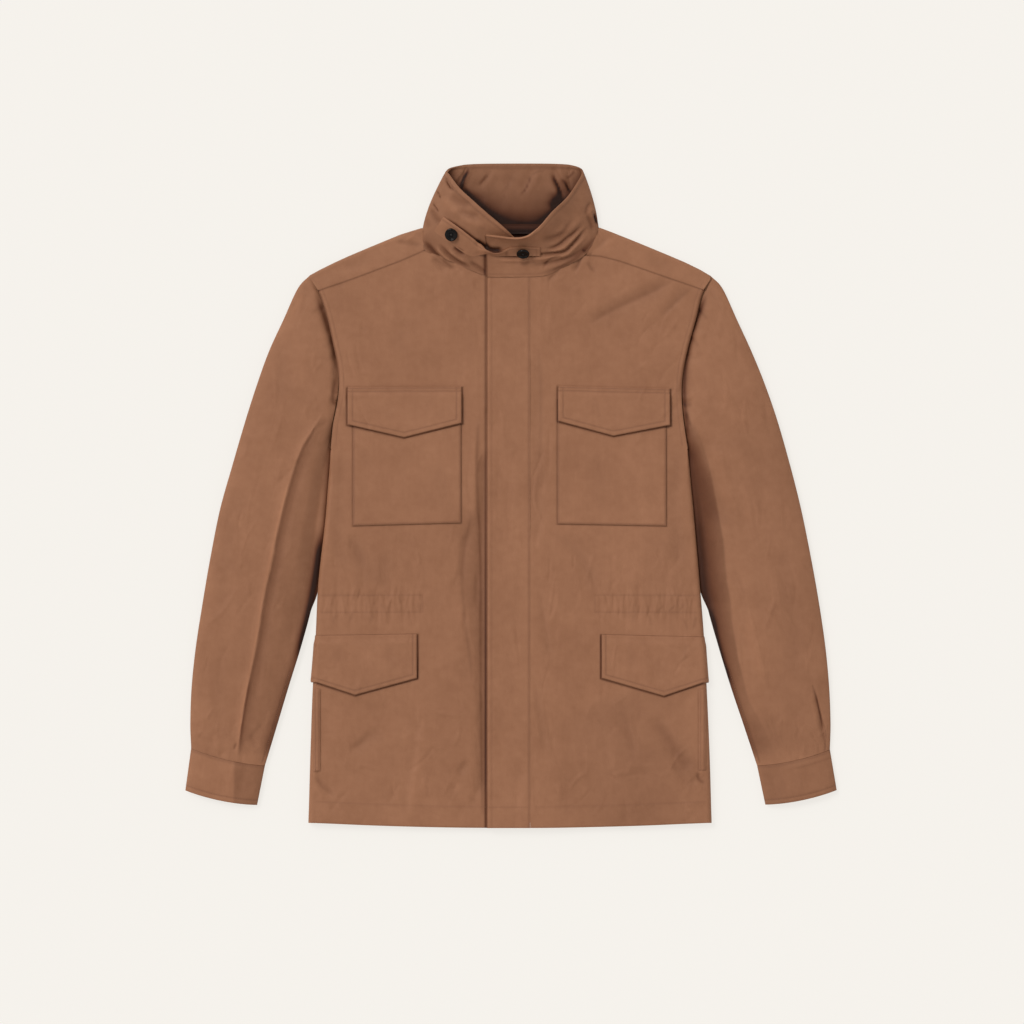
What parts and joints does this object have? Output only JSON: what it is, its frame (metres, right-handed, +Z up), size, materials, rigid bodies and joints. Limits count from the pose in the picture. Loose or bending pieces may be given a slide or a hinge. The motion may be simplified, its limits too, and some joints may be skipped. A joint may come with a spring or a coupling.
{
  "type": "field jacket",
  "caption": "Cotton field jacket laid flat, stand-up collar closed by a buttoned throat strap, fly placket, pointed pocket flaps and gathered waist.",
  "frame": {"origin": "middle of the jacket's footprint, on the surface that it lies on", "axes": "+X towards the wearer's left sleeve, +Y from the hem to the collar, +Z up from the surface to the jacket's front"},
  "size_m": [0.7954, 0.8112, 0.0464],
  "materials": {
    "cloth": "smooth tan-brown cotton with a faint sheen",
    "tape": "tan-brown cotton tape",
    "button": "polished black, four holes"
  },
  "bodies": {
    "root": {"back": "cloth", "front_left": "cloth", "front_right": "cloth", "placket": "cloth", "sleeve_left": "cloth", "sleeve_right": "cloth", "cuff_left": "cloth", "cuff_right": "cloth", "collar": "cloth", "neck_tape": "tape", "throat_strap": "cloth", "chest_pocket_left": "cloth", "chest_pocket_right": "cloth", "chest_flap_left": "cloth", "chest_flap_right": "cloth", "hip_flap_left": "cloth", "hip_flap_right": "cloth", "welt_left": "cloth", "welt_right": "cloth", "button_strap": "button", "button_end": "button"}
  },
  "joints": []
}
